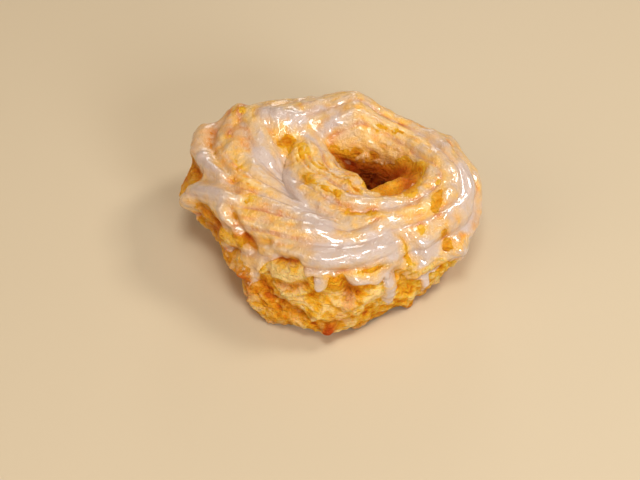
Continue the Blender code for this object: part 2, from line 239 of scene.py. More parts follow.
def plain_skin(bearing, angle):
    """Point = core + reach in the ray's direction, with the side drawn in towards the foot.

    Also gives, for each strand, its share in the skin, its turn and the angle round it.
    """
    bearing, angle = np.broadcast_arrays(np.asarray(bearing, float), np.asarray(angle, float))
    core = core_radius(bearing)
    run = np.cos(np.radians(angle))
    rise = np.sin(np.radians(angle))
    reach = None
    foot_edge = 0.0
    hits = []
    for present, turn, radius, half_width, height in strands(bearing):
        middle = STRAND_MIDDLE * height
        half_height = height - middle
        hit = far_side(core - radius, CORE_HEIGHT - middle, run, rise, half_width, half_height)
        hit = np.where(present, hit, -1.0)
        hits.append((hit, turn, radius, half_width, middle, half_height))
        reach = hit if reach is None else soft_max(reach, hit, STRAND_BLEND)
        foot_edge = np.maximum(foot_edge, np.where(present, radius + STRAND_FOOT * half_width, 0.0))
    out = core + reach * run
    up = CORE_HEIGHT + reach * rise
    nearest = np.maximum(hits[0][0], hits[1][0])
    total = 1e-12
    shares = []
    for hit, turn, radius, half_width, middle, half_height in hits:
        share = np.where(hit > 0, np.exp(-(nearest - hit) / STRAND_SHARING), 0)
        round_strand = np.arctan2((up - middle) / half_height, (out - radius) / half_width)
        shares.append([share, turn, np.degrees(round_strand)])
        total = total + share
    for row in shares:
        row[0] = row[0] / total
    foot = curve(FOOT, bearing % 360, 1) * MM
    draw_height = curve(FOOT, bearing % 360, 2) * MM
    low = np.clip((draw_height - up) / draw_height, 0, 1.2) ** SIDE_BEND
    outward = soft_step(run, -0.1, 0.35)
    draw = 1 - (foot - core) / np.maximum(foot_edge - core, 4 * MM)
    draw = outward * np.clip(draw, -0.6, 0.6) + (1 - outward) * INNER_DRAW
    out = core + (out - core) * (1 - draw * low)
    heading = np.radians(bearing)
    points = np.stack([out * np.cos(heading), out * np.sin(heading), np.maximum(up, 0)], -1) + HOLE
    return points, shares


print("outermost point at the left:", (plain_skin(180.0, 5.0)[0] / MM).round(1), "mm")

# %% [markdown]
# Ridges, gaps and flakes
#
# The star nozzle leaves ridges along the rope, and they wind round it. A modelled ridge curve for
# each would be long work. One rule does them all: the angle round the strand, less how far the
# ridges have wound by there, goes through a rounded wave. Gaps, tips and flakes that are particular
# to this cruller are added one by one along short courses over the skin, each as a bell-shaped
# rise or hollow.

# %% The nozzle's ridges
NOZZLE_TEETH = 12
RIDGE_SHARPNESS = 0.8
RIDGE_MIDDLE = 1.3

# Degrees along the rope, degrees the ridges have wound.
WINDING = np.array([
    (132, -24), (160, -6), (188, 9), (200, 20),
    (226, 28), (255, 28), (283, 35), (310, 37),
    (345, 43), (356, 58), (367, 70), (390, 75),
    (431, 76), (452, 77), (470, 79), (490, 87),
    (505, 100), (522, 130), (540, 160), (558, 190),
    (577, 218), (588, 228), (598, 234), (620, 241),
    (652, 246),
])

# Degrees along the rope, ridge depth on the top and on the outer side in mm.
RIDGE_DEPTH = np.array([
    (132, 0.0, 0.0), (150, 0.2, 0.3), (175, 0.6, 0.7), (205, 0.7, 0.8),
    (300, 0.6, 0.8), (335, 0.4, 0.9), (375, 0.5, 1.1), (400, 0.7, 1.2),
    (450, 0.7, 1.3), (480, 0.5, 1.2), (500, 0.4, 1.0), (522, 0.4, 0.8),
    (560, 0.4, 0.8), (577, 0.4, 0.9), (600, 0.4, 0.8), (630, 0.5, 0.8),
    (652, 0.0, 0.0),
])


def unwound(turn, angle):
    """The angle round the strand, less how many degrees the ridges have wound by that turn."""
    return angle - curve(WINDING, turn, 1)


def facing_hole(angle):
    """1 on the side of a strand that faces the hole, and 0 on its top, foot and outer side."""
    return soft_step(-np.cos(np.radians(angle)), 0.35, 0.75)


def ridge_waves(points, shares):
    """For each strand, in radians: teeth x the unwound angle, with a sway."""
    sway = 0.9 * lumpy(points, 16 * MM, 3)
    waves = []
    for share, turn, angle in shares:
        waves.append(np.radians(unwound(turn, angle) * NOZZLE_TEETH) + sway)
    return waves


def nozzle_ridges(points, shares):
    """Depth x (2 |cos(half the wave)| ^ sharpness - middle), flatter under the rope and in the hole."""
    ridges = 0
    for (share, turn, angle), wave in zip(shares, ridge_waves(points, shares)):
        profile = np.abs(np.cos(wave / 2)) ** RIDGE_SHARPNESS * 2 - RIDGE_MIDDLE
        outside = soft_step(np.cos(np.radians(angle)), 0.5, 0.9)
        under = soft_step(-np.sin(np.radians(angle)), 0.0, 0.6)
        depth = curve(RIDGE_DEPTH, turn, 1) * (1 - outside) + curve(RIDGE_DEPTH, turn, 2) * outside
        ridges = ridges + share * profile * depth * (1 - 0.6 * under) * (1 - 0.7 * facing_hole(angle))
    return ridges * MM * (1 + 0.45 * lumpy(points, 12 * MM, 4))


# %% Gaps and tips that this cruller has
# Name, height (a hollow is negative) and half width in mm, and the course as bearing and angle.
PLACES = [
    ("left gap", -3.2, 2.2, [(170.5, 22), (175.5, 27), (180, 31)]),
    ("crust below that gap", 3.4, 3.0, [(171, 8), (178, 11)]),
    ("gap below the left tip", -2.1, 2.6, [(190, 20), (194, 23), (199, 22), (200, 14), (195, 5)]),
    ("lower left hollow", -1.8, 2.4, [(214, 30), (219, 28)]),
    ("crusty hollow beside it", -1.1, 2.6, [(206.5, 24), (211.5, 20), (210, 6)]),
    ("crease behind the left lobe", -1.5, 1.7,
     [(155, 43), (162, 42), (169.5, 44), (177, 49), (184.5, 55), (191.5, 57)]),
    ("crease below the left lobe", -1.3, 1.7, [(184, 37), (190, 47), (198, 53)]),
    ("crease above the lower stripe", -1.3, 1.5,
     [(203, 42), (207.5, 38.5), (213, 33), (218, 34), (224, 40)]),
    ("notch where the tongue starts", -1.4, 1.3, [(160, 101), (157.5, 105), (157, 108)]),
    ("crease behind the tongue", -0.8, 1.3, [(147, 117), (149.5, 130), (154, 135)]),
    ("crease left of the tongue", -0.9, 1.4, [(157.5, 104), (161.5, 111), (173, 116)]),
    ("gap beside the tongue", -1.8, 1.8, [(140, 149), (120, 157)]),
    ("corner of the hole", -0.8, 2.8, [(340, 113), (8, 120)]),
    ("hollow in the front crust", -2.2, 2.0, [(259, 24), (261, 8)]),
    ("gap under the front edge", -1.0, 1.8, [(274, 28), (280, 18), (285, 6)]),
    ("pit beside the front flake", -1.4, 1.6, [(227, 23), (230, 12)]),
    ("slit over the front flake", -1.8, 1.3, [(229, 33), (233, 34), (239, 38)]),
    ("slit under the front flake", -1.2, 1.3, [(233, 11), (239, 12), (244, 19)]),
    ("crevice in the front foot", -1.8, 1.8, [(228, -2), (237, -6), (243, -17)]),
    ("crease on the right lump", -1.2, 1.5, [(288, 112), (305, 108), (322, 108)]),
    ("curl at the foot", 2.4, 1.4, [(252, -23), (254, -20)]),
    ("knob at the lower left", 1.8, 2.4, [(219, 3), (222, -5)]),
    ("drip at the right", 2.4, 3.2, [(317, 12), (321, -10)]),
    ("upper left lobe", 3.2, 4.4, [(159, 31), (165, 33), (171, 32)]),
    ("left lobe", 1.2, 2.8, [(176, 37), (181, 44), (187, 50)]),
    ("lobe below it", 1.7, 3.4, [(184, 16), (187, 26), (191.5, 35), (196, 41), (201, 45)]),
    ("left tip", 2.6, 3.0, [(182, 12), (184, 20)]),
    ("curl under the left tip", 2.2, 2.2, [(184, 8), (187, 2)]),
    ("lower stripe", 0.6, 1.4, [(200, 36), (205, 33), (210, 30)]),
    ("strip at the left edge", 1.2, 1.8, [(204, 6), (207, 1), (213, 2), (219, 4)]),
    ("roll along the front", 1.3, 3.8, [(238, 38), (252, 42), (263, 45), (274, 42), (281, 36)]),
    ("groove under the valley", -0.8, 2.2, [(243, 56), (262, 60), (279, 58)]),
    ("fold at the front right", 1.4, 1.6, [(283.5, 54), (286, 38), (289, 18), (291.5, -4)]),
    ("groove beside that fold", -0.9, 1.5, [(290, 52), (293, 36), (296, 18)]),
    ("right tip", 1.2, 3.0, [(356, 46), (350, 40)]),
    ("back tip", 1.6, 2.8, [(146, 46), (149, 52)]),
    ("tongue's start", 1.4, 3.4, [(159, 113), (166, 121)]),
    ("swell of the tongue into the hole", 4.8, 4.3, [(214, 147), (227, 144), (244, 135)]),
    ("lump on the right of the hole", 3.0, 3.4, [(286, 120), (305, 120), (318, 118)]),
]

# Flakes: name, height and depth in mm, and the course of the lower edge.
FLAKES = [
    ("broad flake at the front", 1.5, 3.0,
     [(226, 14), (228, 18), (231, 16), (234, 19), (238, 18), (241, 23), (246, 30)]),
    ("flake below it", 1.6, 2.6, [(233, 8), (236, 6), (240, 6), (244, 9), (247, 16)]),
    ("flake under the skirt", 1.0, 2.4, [(255, 3), (259, 0), (264, 2), (268, 6)]),
    ("flake over the curl", 1.2, 2.8, [(247, -10), (252, -14), (257, -12), (262, -14)]),
    ("flake at the left foot", 1.0, 2.4, [(224, -22), (229, -26), (236, -24)]),
]


def nearest_on(points, course):
    """From every point to the nearest one on a chain of straight pieces: distance and height above."""
    bearings, angles = np.array(course, float).T
    chain = plain_skin(bearings, angles)[0]
    distance = np.linalg.norm(points - chain[0], axis=-1)
    above = points[..., 2] - chain[0, 2]
    for a, b in zip(chain[:-1], chain[1:]):
        along = np.clip((points - a) @ (b - a) / ((b - a) @ (b - a)), 0, 1)
        foot = a + along[..., None] * (b - a)
        away = np.linalg.norm(points - foot, axis=-1)
        above = np.where(away < distance, points[..., 2] - foot[..., 2], above)
        distance = np.minimum(distance, away)
    return distance, above


def placed(points, places):
    """The sum of bell curves: size x exp(-(distance / half width) squared) for every place."""
    total = np.zeros(points.shape[:-1])
    for name, size, half_width, course in places:
        total = total + size * np.exp(-(nearest_on(points, course)[0] / (half_width * MM)) ** 2)
    return total * MM


def flaked(points, flakes):
    """Ledges: above its edge a flake is size x exp(-(distance / depth) squared), and 0 just below."""
    total = np.zeros(points.shape[:-1])
    for name, size, depth, course in flakes:
        distance, above = nearest_on(points, course)
        ledge = soft_step(above, -0.6 * MM, 0.1 * MM) * np.exp(-(distance / (depth * MM)) ** 2)
        total = total + size * ledge
    return total * MM


print(len(PLACES), "gaps and tips,", len(FLAKES), "large flakes")


# %% The dough's whole relief
CRUST_TOP = 25 * MM
CRUST_FADE = 8 * MM
CRAG_HEIGHT = 1.1 * MM
CRAG_SIZE = 6.5 * MM
WAVE_HEIGHT = 0.4 * MM
WAVE_SIZE = 6 * MM
SMALL_WAVE_HEIGHT = 0.45 * MM
SMALL_WAVE_SIZE = 3.3 * MM


def roughness_zone(points):
    """1 on the bare lower crust, fading to 0 at its top, above which the skin is smooth."""
    return soft_step(CRUST_TOP - points[..., 2], 0, CRUST_FADE)


def dough_form(points, shares):
    """The forms that the glaze follows too: ridges, places, big crags low down, faint waves above."""
    rough = roughness_zone(points)
    crags = CRAG_HEIGHT * lumpy(points, CRAG_SIZE, 5)
    waves = WAVE_HEIGHT * lumpy(points, WAVE_SIZE, 7)
    waves = waves + SMALL_WAVE_HEIGHT * lumpy(points, SMALL_WAVE_SIZE, 25)
    forms = nozzle_ridges(points, shares) + placed(points, PLACES) + flaked(points, FLAKES)
    return forms + rough * crags + (1 - rough) * waves


def small_flakes(count, seed):
    """Small flakes all round the lower crust, with drawn places, lengths, tilts and sizes."""
    draw = np.random.default_rng(seed)
    flakes = []
    for number in range(count):
        bearing = 360 * (number + draw.random()) / count
        angle = draw.uniform(-48, 22)
        half_length = draw.uniform(1.0, 3.0)
        tilt = draw.uniform(-7, 7)
        before = (bearing - half_length, angle + tilt)
        after = (bearing + half_length, angle - tilt)
        course = [before, (bearing, angle - 3), after]
        flakes.append(("small", draw.uniform(0.3, 0.9), draw.uniform(0.9, 2.0), course))
    return flakes


SMALL_FLAKES = small_flakes(140, 31)

# Places higher up that are crumbly too: name, strength, half width in mm, course.
CRUMBLY = [
    ("tongue's start", 0.6, 5.0, [(156, 114), (171, 124)]),
    ("tongue", 0.7, 5.0, [(193, 136), (215, 130), (240, 122)]),
    ("edge of the tongue in the hole", 0.9, 3.0,
     [(193, 142), (211, 139), (233, 134), (250, 132), (262, 120)]),
    ("left patch", 0.5, 4.0, [(176, 63), (189, 62), (205, 62)]),
    ("left gap", 1.0, 4.5, [(170, 8), (174, 20), (180, 28)]),
    ("left edge of the upper left lobe", 0.5, 2.4, [(168, 30), (162, 27)]),
]

# Places that are smooth, written the same way.
SMOOTH = [
    ("back wall of the hole", 0.9, 7.0, [(114, 132), (85, 140), (50, 142), (15, 135)]),
]


def torn(points, size, slant, seed):
    """Streaks that run round the ring and slant down it: lumps drawn out 3 times along their run.

    The height is wound by a whole number of lattice periods in a turn, so that the streaks meet.
    """
    bearing = np.arctan2(points[..., 1] - HOLE[1], points[..., 0] - HOLE[0]) / (2 * np.pi)
    wound = points[..., 2] + slant * LATTICE * size * bearing
    return lumpy(np.stack([points[..., 0] / 3, points[..., 1] / 3, wound], -1), size, seed)


def crumbly(points, size, seed):
    """Sharp little crests with rounded hollows between them: 0.5 - |lumps| x 1.6."""
    return 0.5 - 1.6 * np.abs(lumpy(points, size, seed))


def groove_lines(points, shares):
    """Thin lines in the nozzle's grooves: (1 - |cos(half the wave)|) cubed, fainter in the hole."""
    lines = 0
    for (share, turn, angle), wave in zip(shares, ridge_waves(points, shares)):
        line = (1 - np.abs(np.cos(wave / 2))) ** 3
        lines = lines + share * line * (1 - 0.8 * facing_hole(angle))
    return lines


def flow_streaks(shares, around, seed):
    """Lumps drawn out along the rope's ridges, with that many cells round the strand.

    Round the strand the cells are counted in whole lattice periods, so that they close on themselves.
    """
    total = 0
    for share, turn, angle in shares:
        wound = unwound(turn, angle) / 360 * around
        run = turn / 360 * around / 3
        total = total + share * lumpy(np.stack([run, wound, np.zeros_like(run)], -1), 1.0, seed)
    return total


def calm(points):
    """0.8 in the middle of the smooth places and 0 away from them."""
    return np.clip(placed(points, SMOOTH) / MM, 0, 0.8)


def crust_grain(points):
    """Flakes, streaks and crumbs: bold on the lower crust, finer on crumbly places, else faint."""
    low_down = roughness_zone(points)
    high_up = np.clip(placed(points, CRUMBLY) / MM, 0, 1) * (1 - low_down)
    streaks = 0.55 * torn(points, 1.2 * MM, 4, 17) + 0.4 * torn(points, 2.2 * MM, 2, 18)
    large = crumbly(points, 2.6 * MM, 6)
    small = crumbly(points, 1.4 * MM, 13)
    crumbs = low_down * (0.6 * large + 0.3 * small) + high_up * (0.3 * large + 0.5 * small)
    fine = 0.20 * lumpy(points, 2.4 * MM, 14) + 0.16 * lumpy(points, 1.3 * MM, 15)
    torn_crust = low_down * (flaked(points, SMALL_FLAKES) + MM * streaks)
    grain = torn_crust + MM * crumbs + MM * (1 - low_down - high_up) * fine
    return grain * (1 - calm(points))


# %% [markdown]
# From a grid to a mesh
#
# A mesh could be sculpted or subdivided from a cage. A ring whose skin is a function of two numbers
# needs neither: the function runs over a whole grid at once, and neighbours in the grid become
# four-sided faces. The grid closes on itself both ways, so the mesh has no edge and no pole. The
# rows are laid out so that the faces come out about equally large, and smaller on the torn crust.


# %% Grids and meshes
def even_stops(lengths, count, closed):
    """Shares of a row, 0 to 1, at which equal parts of its length have been travelled."""
    travelled = np.concatenate([[0.0], np.cumsum(lengths)])
    wanted = np.linspace(0, travelled[-1], count, endpoint=not closed)
    return np.interp(wanted, travelled, np.linspace(0, 1, len(travelled)))


def even_bearings(count, fine=360):
    """Bearings spaced so that the steps along the outer edge are equally long."""
    edge = plain_skin(np.arange(fine) * 360 / fine, 0.0)[0] - HOLE
    return 360 * even_stops(np.hypot(edge[:, 0], edge[:, 1]), count, True)


def even_angles(bearings, start, end, count, closed, denser=0.0, fine=240):
    """For each bearing, angles between start and end that are equally far apart on the skin.

    With denser above 0 the steps are that much shorter on the lower outer side, from -60 to 45.
    """
    share = np.linspace(0, 1, fine + 1)
    angles = start[:, None] + (end - start)[:, None] * share
    points = plain_skin(bearings[:, None], angles)[0]
    lengths = np.linalg.norm(np.diff(points, axis=1), axis=-1)
    from_side = np.abs((angles[:, 1:] + 7 + 180) % 360 - 180)
    lengths = lengths * (1 + denser * soft_step(60 - from_side, 0, 15))
    stops = np.array([even_stops(row, count, closed) for row in lengths])
    return start[:, None] + (end - start)[:, None] * stops


def skin_normals(bearing, angle, step=0.4):
    """Unit normals: the cross product of the skin's slopes along the ring and round the tube."""
    along = plain_skin(bearing + step, angle)[0] - plain_skin(bearing - step, angle)[0]
    across = plain_skin(bearing, angle + step)[0] - plain_skin(bearing, angle - step)[0]
    normal = np.cross(along, across)
    length = np.linalg.norm(normal, axis=-1, keepdims=True)
    return normal / np.maximum(length, 1e-12)


def closed_mesh(name, points, values):
    """A piece from a grid of points that closes both ways, with one attribute for each named value."""
    rows, columns = points.shape[:2]
    here = np.arange(rows * columns).reshape(rows, columns)
    ahead = np.roll(here, -1, 0)
    faces = np.stack([here, ahead, np.roll(ahead, -1, 1), np.roll(here, -1, 1)], -1).reshape(-1, 4)
    mesh = bpy.data.meshes.new(name)
    mesh.from_pydata(points.reshape(-1, 3), [], faces)
    for label, value in values.items():
        attribute = mesh.attributes.new(label, "FLOAT", "POINT")
        attribute.data.foreach_set("value", np.ascontiguousarray(value, np.float32).reshape(-1))
    mesh.shade_smooth()
    piece = bpy.data.objects.new(name, mesh)
    bpy.context.scene.collection.objects.link(piece)
    low = points.reshape(-1, 3).min(0) / MM
    high = points.reshape(-1, 3).max(0) / MM
    print(name, 2 * len(faces), "triangles, from", low.round(1), "to", high.round(1), "mm")
    return piece


# %% [markdown]
# The fried crust
#
# On the real cruller the crust is what the hot fat made of the dough's skin: ridges above, and a
# torn, flaky band below where it rose. Its mesh is the dough's form plus the crust's grain. Four
# values are kept for its colour: how far a point lies in a hollow, for painted shade there; how high
# on a flake; how brown it was fried, together with painted shade in gaps, slits and the hole; and
# how smooth it is.

# %% Crust mesh
CRUST_RING = 580
CRUST_TUBE = 170
CRUST_SINK = 0.45 * MM

# Places painted browner: name, strength, half width in mm, course. Most are painted shade: in the
# gaps, slits, creases, grooves and hollows, on the upper left lobe and the lower left side, and round
# the hole. The curl, the spots, the stripes and the knob were fried browner.
BROWN_AND_SHADE_PLACES = [
    ("curl at the foot", 0.8, 1.5, [(251.5, -24), (253, -22)]),
    ("orange crust beside the curl", 0.35, 2.5, [(254, -18), (257, -10), (260, -14)]),
    ("crust over the curl", 0.4, 2.2, [(252, -20), (255, -18)]),
    ("notch at the tongue", 0.6, 1.3, [(160, 101), (157.5, 105), (157, 108)]),
    ("left gap", 0.55, 2.8, [(170.5, 22), (175.5, 27), (180, 31)]),
    ("crust below it", 0.25, 3.0, [(171, 12), (178, 16)]),
    ("upper left lobe", 0.5, 4.5, [(170, 38), (163, 38), (156, 34), (152, 28)]),
    ("upper groove of the tongue", 0.35, 1.0, [(183, 131), (228.5, 128), (257, 119.5)]),
    ("lower groove of the tongue", 0.2, 1.0, [(197.5, 110.5), (230, 111.5), (252.5, 108)]),
    ("groove below the hole", 0.3, 1.5, [(241.5, 100), (260.5, 96), (279.5, 87.5)]),
    ("gap below the left tip", 0.5, 2.8, [(190, 20), (194, 23), (199, 22), (200, 14), (195, 5)]),
    ("lower left hollow", 0.6, 2.4, [(214, 30), (219, 28)]),
    ("crease above the lower stripe", 0.6, 1.6, [(203, 42), (207.5, 38.5), (213, 33), (218, 34)]),
    ("crease behind the left lobe", 0.45, 2.0,
     [(152.5, 40), (159, 41), (168, 44), (175.5, 50), (182.5, 56), (189, 60)]),
    ("slit over the front flake", 1.0, 1.1, [(229, 31), (233, 32.5), (239, 36.5)]),
    ("slit under the front flake", 0.6, 1.2, [(233, 11), (239, 12), (244, 19)]),
    ("dark streaks at the front left", 0.35, 5.0, [(222, 8), (227, 0), (231, -12), (237, -18)]),
    ("lump on the right of the hole", 0.5, 3.4, [(286, 117), (292, 106), (308, 103), (322, 111)]),
    ("right of the hole", 0.45, 3.4, [(17, 136), (2, 127), (337, 117), (316, 108)]),
    ("right stripe", 0.4, 2.2, [(326, 80), (318, 71), (314, 66)]),
    ("right stripe below", 0.45, 1.8, [(312, 40), (313, 28), (311, 19)]),
    ("slit beside the tongue", 0.9, 1.3, [(136, 142), (129, 151), (120, 159)]),
    ("spot on the far edge", 0.6, 1.5, [(42, 79), (36, 78)]),
    ("first brown spot in the hole", 0.6, 1.3, [(109, 138), (107, 138)]),
    ("second brown spot in the hole", 0.5, 1.3, [(79, 132), (77, 133)]),
    ("hollow in the front crust", 0.55, 2.4, [(261, 20), (261.5, 12), (260, 4)]),
    ("gap under the front edge", 0.4, 1.8, [(274, 28), (280, 18), (285, 6)]),
    ("crevice in the front foot", 0.3, 2.0, [(228, -2), (237, -6), (243, -17)]),
    ("corner of the hole", 0.4, 3.0, [(340, 120), (8, 128)]),
    ("lower left side", 0.35, 7.0, [(194, 8), (206, 4), (215, 0)]),
    ("knob at the lower left", 0.5, 2.6, [(219, 2), (222, -8), (222, -15)]),
]

# Flakes that stayed pale, written the same way.
PALE = [
    ("broad flake at the front", 0.6, 2.8, [(230, 21), (237, 23), (243, 29)]),
    ("crumbs in the lower left hollow", 0.35, 2.4, [(207, 22), (211, 16)]),
    ("flake below it", 0.3, 2.0, [(236, 8), (242, 10)]),
    ("crags at the front", 0.2, 6.0, [(250, -6), (262, 0), (275, -8)]),
]


def toast(points):
    """0 to 1.15: the listed places, painted shade low in the hole, and darker towards the bottom."""
    spots = placed(points, BROWN_AND_SHADE_PLACES) / MM
    from_hole = np.linalg.norm((points - HOLE)[..., :2], axis=-1)
    # Painted shade on the hole's wall low down; the crust also gets darker towards the bottom.
    in_hole = soft_step(16 * MM - from_hole, 0, 5 * MM) * soft_step(31 * MM - points[..., 2], 0, 9 * MM)
    underside = 0.5 * soft_step(5 * MM - points[..., 2], 0, 4 * MM)
    return np.clip(spots + in_hole + underside, 0, 1.15)


def hollow_shade(form):
    """Painted shade: 0 where the dough's form stands high, rising to 1 at the bottom of the deep gaps."""
    return np.clip(-(form + 1.2 * MM) / (2.5 * MM), 0, 1)


ring = even_bearings(CRUST_RING)
tube = even_angles(ring, np.zeros(CRUST_RING), np.full(CRUST_RING, 360.0), CRUST_TUBE, True, denser=1.4)
plain, shares = plain_skin(ring[:, None], tube)
form = dough_form(plain, shares)
grain = crust_grain(plain)
height = form + grain - CRUST_SINK
skin = plain + skin_normals(ring[:, None], tube) * height[..., None]
skin[..., 2] = np.maximum(skin[..., 2], 0)
crest = np.clip(0.5 + grain / (1.7 * MM) + placed(plain, PALE) / MM, 0, 1)
# The hollow value is painted shade in the gaps; the brown value is browning with painted shade.
values = {"hollow": hollow_shade(form), "crest": crest, "toast": toast(plain), "calm": calm(plain)}
crust = closed_mesh("crust", skin, values)

# %% [markdown]
# The glaze
#
# Sugar glaze runs: it is thin on the crests, pools between the ridges, hangs in drips along its
# lower edge and misses the deepest gaps. A second skin with one even thickness would look like
# plastic. This one is a sheet from the edge on the outer side, over the top, to the edge in the
# hole. Its height is the larger of a thin film on the dough and a flatter level that fills the
# valleys. Where the sum falls below the crust, the crust shows through.

# %% The glaze's edges
# Bearing, angle of the outer edge and angle of the edge inside the hole.
EDGES = np.array([
    (0, 12, 118), (18, 2, 120), (32, 12, 122), (42, 0, 124),
    (55, 20, 127), (68, 8, 130), (80, 22, 132), (93, 6, 135),
    (108, 18, 139), (120, 2, 146), (133, 20, 153), (145, 8, 160),
    (160, 18, 162), (168, 18, 160), (173, 26, 158), (178, 31, 155),
    (181, 28, 152), (183, 4, 150), (186, -4, 149), (188, 6, 148),
    (190, 22, 147), (193, 27, 147), (198, 30, 145), (201, 22, 143),
    (204, 2, 141), (209, 2, 139), (214, 3, 137), (218, -4, 135),
    (221, -13, 134), (224, 4, 133), (226, 22, 132), (229, 29, 131),
    (233, 34, 130), (240, 36, 129), (244, 31, 128), (248, 28, 127),
    (254, 30, 127), (258, 31, 126), (261, 24, 126), (266, 19, 125),
    (271, 17, 125), (274, 23, 125), (277, 26, 124), (280, 22, 123),
    (284.5, 6, 122), (289, -6, 121), (294, -13, 119), (299, -15, 117),
    (303, -13, 116), (308, -8, 115), (312, -7, 115), (316, -16, 116),
    (320, -20, 118), (324, -20, 119), (329, -17, 114), (335, -8, 114),
    (345, 2, 116), (360, 12, 118),
])

# Drips: bearing, how many degrees further down they reach, half width in degrees of bearing.
DRIPS = [
    (249.4, 14.0, 2.8),
    (277.2, 54.0, 3.5),
    (297.3, 34.0, 2.4),
    (37.0, 16.0, 2.2),
    (68.0, 12.0, 2.0),
    (101.0, 18.0, 1.8),
    (124.0, 14.0, 1.7),
    (351.0, 14.0, 2.0),
]


def edge_angles(bearing):
    """Both edges: the table's angles plus small waves, and for the outer one less the drips.

    A drip reaches down by reach x sqrt(1 - (degrees from its middle / half width) squared).
    """
    outer = curve(EDGES, bearing, 1)
    inner = curve(EDGES, bearing, 2)
    turn = np.radians(bearing)
    outer = outer + 1.6 * np.sin(23 * turn + 1.0) + 1.2 * np.sin(41 * turn)
    outer = outer + 0.8 * np.sin(67 * turn + 2.0)
    inner = inner + 2.5 * np.sin(11 * turn) + 1.5 * np.sin(29 * turn + 0.7)
    for middle, reach, half_width in DRIPS:
        away = (bearing - middle + 180) % 360 - 180
        outer = outer - reach * np.sqrt(np.clip(1 - (away / half_width) ** 2, 0, 1))
    return outer, inner


def room_beyond(bearing, edge, sign):
    """The edge's furthest reach within 12 degrees of bearing, smoothed, and 6 degrees more."""
    far = sign * edge
    count = len(bearing)
    window = int(12 * count / 360)
    furthest = np.max([np.roll(far, k) for k in range(-window, window + 1)], axis=0)
    smooth = np.mean([np.roll(furthest, k) for k in range(-window // 2, window // 2 + 1)], axis=0)
    return sign * (smooth + 6)


def edge_distances(bearing, angle, step=0.5):
    """Distance inside each edge: degrees past the edge x mm to a degree / sqrt(1 + slope ^ 2)."""
    across = plain_skin(bearing, angle + step)[0] - plain_skin(bearing, angle - step)[0]
    along = plain_skin(bearing + step, angle)[0] - plain_skin(bearing - step, angle)[0]
    across = np.linalg.norm(across, axis=-1)
    along = np.linalg.norm(along, axis=-1)
    distances = []
    before, here, after = edge_angles(bearing - step), edge_angles(bearing), edge_angles(bearing + step)
    for side, sign in ((0, 1), (1, -1)):
        slope = (after[side] - before[side]) * across / along
        distances.append(sign * (angle - here[side]) * across / (2 * step) / np.sqrt(1 + slope ** 2))
    return distances


# %% Where the glaze is thick and where it is missing
GLAZE_FILM = 0.15 * MM
GLAZE_SINK = 0.25 * MM
GLAZE_DIVE = 1.5 * MM

# Name, thickness in mm, half width in mm, course.
POOLS = [
    ("valley between the strands", 1.3, 3.7,
     [(176, 84), (177, 101), (185.5, 110), (204, 102), (219.5, 94), (233, 85.5), (245, 74)]),
    ("valley, lower side", 0.5, 3.4, [(186, 88), (197.5, 88), (212, 82), (228, 75), (240, 67)]),
    ("front band", 1.2, 4.2, [(248, 44), (254, 47), (263, 52), (273, 52), (278, 46)]),
    ("skirt", 1.0, 2.4, [(259, 26), (264, 22.5), (268, 18), (272, 16)]),
    ("top left", 1.0, 3.6, [(146.5, 77), (147.5, 90), (145, 100)]),
    ("back, left part", 0.5, 2.2, [(128, 84), (122, 87)]),
    ("right back", 0.7, 2.2, [(35, 82), (22, 82), (11, 80)]),
    ("right edge", 0.8, 3.4, [(355, 67), (343, 57), (336, 42), (330, 21)]),
    ("front, higher", 0.3, 3.0, [(234, 64), (244, 64), (255, 62)]),
    ("upper left lobe", 0.1, 4.2, [(165, 36), (157, 34), (153, 31)]),
    ("left lobe", 1.0, 2.8, [(176, 39), (181, 45), (187, 51)]),
    ("left lobe below", 1.0, 3.2, [(187, 28), (192, 37), (198, 44)]),
    ("left tip", 0.5, 2.5, [(182, 16), (191, 22)]),
    ("lower left stripe", 0.4, 1.4, [(200, 36), (205, 33), (210, 31)]),
    ("inner slope at the back", 0.8, 2.5, [(136, 124), (122, 112)]),
    ("streak behind the tongue", 0.8, 1.6, [(147, 114), (149, 125)]),
    ("back", 0.5, 3.5, [(138, 100), (125, 98), (111, 109)]),
    ("back left", 0.6, 3.0, [(145, 81), (141, 95)]),
    ("left middle", 0.4, 3.0, [(164, 79), (171, 86), (185, 77)]),
    ("right curve", 0.6, 3.0, [(7, 86), (353, 71), (342, 58), (329, 52), (319, 51)]),
    ("right side", 0.5, 3.0, [(319, 35), (326, 36)]),
    ("rim of the right side", 0.4, 3.4, [(25, 52), (5, 42), (348, 32), (338, 14)]),
    ("front right", 1.3, 3.2, [(299, 37), (299, 23), (297, 8), (297, -20)]),
    ("drip at the right", 0.9, 3.2, [(319, 8), (323, -4), (325, -14)]),
    ("edge of the hole", 0.5, 2.0, [(247, 110), (264, 104), (288, 89)]),
    ("front middle", 0.5, 3.0, [(256, 79), (270, 65), (283, 62)]),
    ("round drip", 0.9, 2.0, [(249, 24), (249, 19)]),
    ("run at the front", 1.2, 2.6, [(275, 22), (277, -15)]),
]

